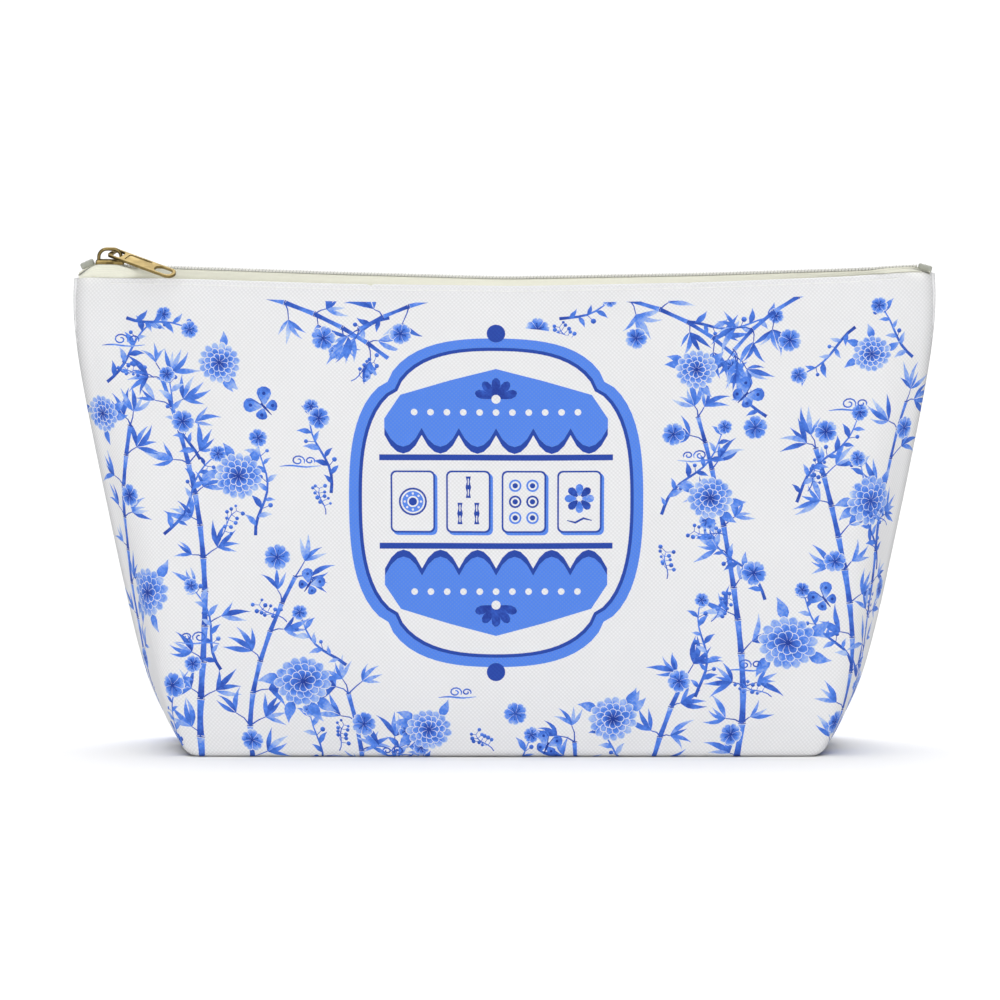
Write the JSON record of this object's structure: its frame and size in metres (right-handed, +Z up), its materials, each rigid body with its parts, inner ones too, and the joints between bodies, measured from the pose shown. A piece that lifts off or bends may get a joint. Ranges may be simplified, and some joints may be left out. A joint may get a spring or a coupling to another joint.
{
  "type": "zipped tile pouch",
  "caption": "Printed fabric pouch with a boxed base, a lining and a coil zip along the top, made to carry a set of game tiles",
  "frame": {"origin": "middle of the base, on the surface the bag stands on", "axes": "+X along the zip, slider parked at the -X end; the printed front faces -Y; +Z up"},
  "size_m": [0.3222, 0.0842, 0.1863],
  "materials": {
    "printed_canvas": "printed woven polyester, matt",
    "lining": "plain woven lining",
    "seam_allowance": "raw woven edge",
    "thread": "spun thread",
    "zip_tape": "woven zip tape",
    "coil_nylon": "satin monofilament",
    "stop_plastic": "matt",
    "gold_metal": "polished antique gold plating"
  },
  "bodies": {
    "base": {"front_panel_base": "printed_canvas", "back_panel_base": "printed_canvas", "base_lining": "lining", "bottom_seam": "seam_allowance", "left_corner_seam": "seam_allowance", "right_corner_seam": "seam_allowance", "left_side_seam": "printed_canvas", "right_side_seam": "printed_canvas", "left_end_stop": "stop_plastic", "right_end_stop": "stop_plastic"},
    "front_wall": {"front_panel": "printed_canvas", "front_lining": "lining", "front_topstitch": "thread", "front_zip_tape": "zip_tape", "front_zip_coil": "coil_nylon"},
    "back_wall": {"back_panel": "printed_canvas", "back_lining": "lining", "back_topstitch": "thread", "back_zip_tape": "zip_tape", "back_zip_coil": "coil_nylon"},
    "slider": {"slider_body": "gold_metal", "slider_crown": "gold_metal"},
    "pull_tab": {"pull_tab": "gold_metal"}
  },
  "joints": [
    {"name": "zip_travel", "type": "slide", "parent": "base", "child": "slider", "axis": [1, 0, 0], "range_m": [0, 0.2934], "deforming": ["front_zip_tape", "back_zip_tape", "front_zip_coil", "back_zip_coil"]},
    {"name": "pull_tab_swing", "type": "hinge", "parent": "slider", "child": "pull_tab", "pos_m": [-0.1457, 0.00035, 0.1842], "axis": [-0.5736, -0.7349, -0.3618], "range_deg": [0, 125]},
    {"name": "front_wall_spread", "type": "hinge", "parent": "base", "child": "front_wall", "pos_m": [0, -0.0415, 0], "axis": [1, 0, 0], "range_deg": [0, 11.1]},
    {"name": "back_wall_spread", "type": "hinge", "parent": "base", "child": "back_wall", "pos_m": [0, 0.0415, 0], "axis": [-1, 0, 0], "range_deg": [0, 11.1]}
  ],
  "couplings": [
    {"joint": "front_wall_spread", "follows": "zip_travel", "rad_per_m": 0.6543},
    {"joint": "back_wall_spread", "follows": "zip_travel", "rad_per_m": 0.6543}
  ]
}
